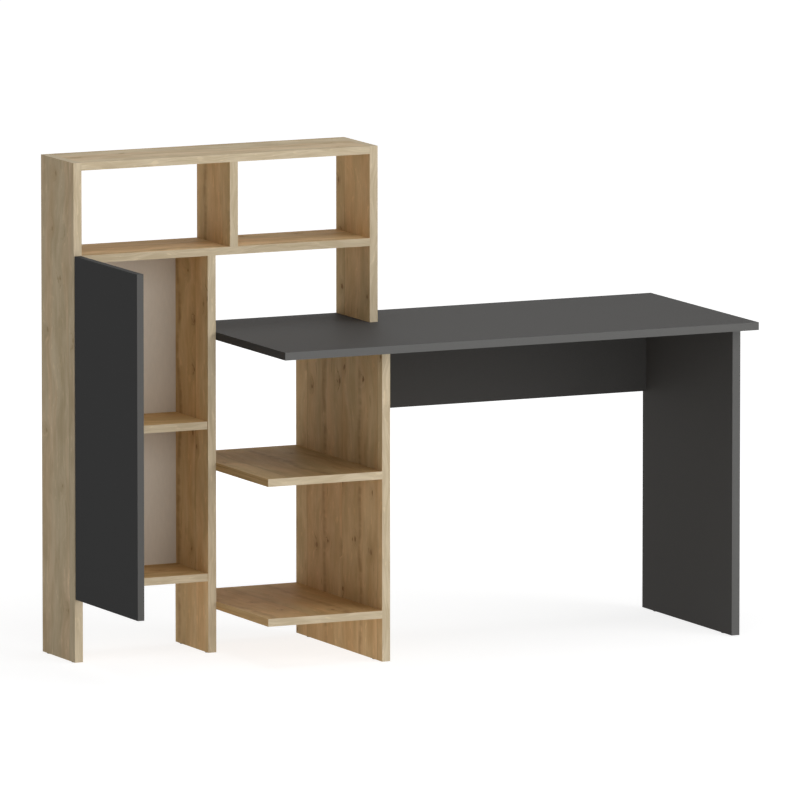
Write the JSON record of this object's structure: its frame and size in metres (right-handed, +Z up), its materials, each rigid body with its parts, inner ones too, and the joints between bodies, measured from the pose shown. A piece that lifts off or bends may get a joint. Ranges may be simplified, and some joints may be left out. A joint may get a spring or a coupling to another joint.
{
  "type": "student desk with hutch",
  "caption": "Student desk with a dark top and leg, an oak hutch of cubbies, a narrow cabinet with a swinging door and open shelves under the left end.",
  "frame": {"origin": "centre of the footprint's box on the floor", "axes": "+X to the right as seen from the front, +Y to the back, +Z up"},
  "size_m": [1.546, 0.56, 1.146],
  "materials": {
    "oak_melamine": "matt oak-grain melamine",
    "anthracite_melamine": "matt anthracite melamine",
    "back_board": "smooth greige hardboard",
    "hinge_steel": "nickel-plated steel",
    "zinc": "zinc die casting",
    "beech": "raw beech",
    "oak_plastic": "oak-coloured matt plastic",
    "dark_plastic": "matt dark plastic",
    "soft_plastic": "soft translucent bumper"
  },
  "bodies": {
    "carcass": {"left_side_panel": "oak_melamine", "centre_panel": "oak_melamine", "hutch_right_panel": "oak_melamine", "hutch_top_panel": "oak_melamine", "hutch_shelf": "oak_melamine", "hutch_divider": "oak_melamine", "cabinet_shelf": "oak_melamine", "cabinet_bottom": "oak_melamine", "upper_open_shelf": "oak_melamine", "lower_open_shelf": "oak_melamine", "pedestal_side_panel": "oak_melamine", "desktop": "anthracite_melamine", "right_leg_panel": "anthracite_melamine", "modesty_panel": "anthracite_melamine", "cabinet_back": "back_board", "hinge_arms": "hinge_steel", "hinge_plates": "hinge_steel", "hinge_pins": "hinge_steel", "hinge_plate_screws": "hinge_steel", "hinge_arm_screws": "hinge_steel", "back_nails": "hinge_steel", "upright_screws": "hinge_steel", "cam_housings": "zinc", "cam_bolts": "zinc", "shelf_pins": "zinc", "dowels": "beech", "oak_cam_caps": "oak_plastic", "dark_cam_caps": "dark_plastic", "floor_glides": "dark_plastic"},
    "door": {"cabinet_door": "anthracite_melamine", "hinge_cups": "hinge_steel", "hinge_cup_screws": "hinge_steel", "door_bumpers": "soft_plastic"}
  },
  "joints": [
    {"name": "door_hinge", "type": "hinge", "parent": "carcass", "child": "door", "pos_m": [-0.765, 0.0875, 0.2475], "axis": [0, 0, -1], "range_deg": [-90, 5]}
  ]
}
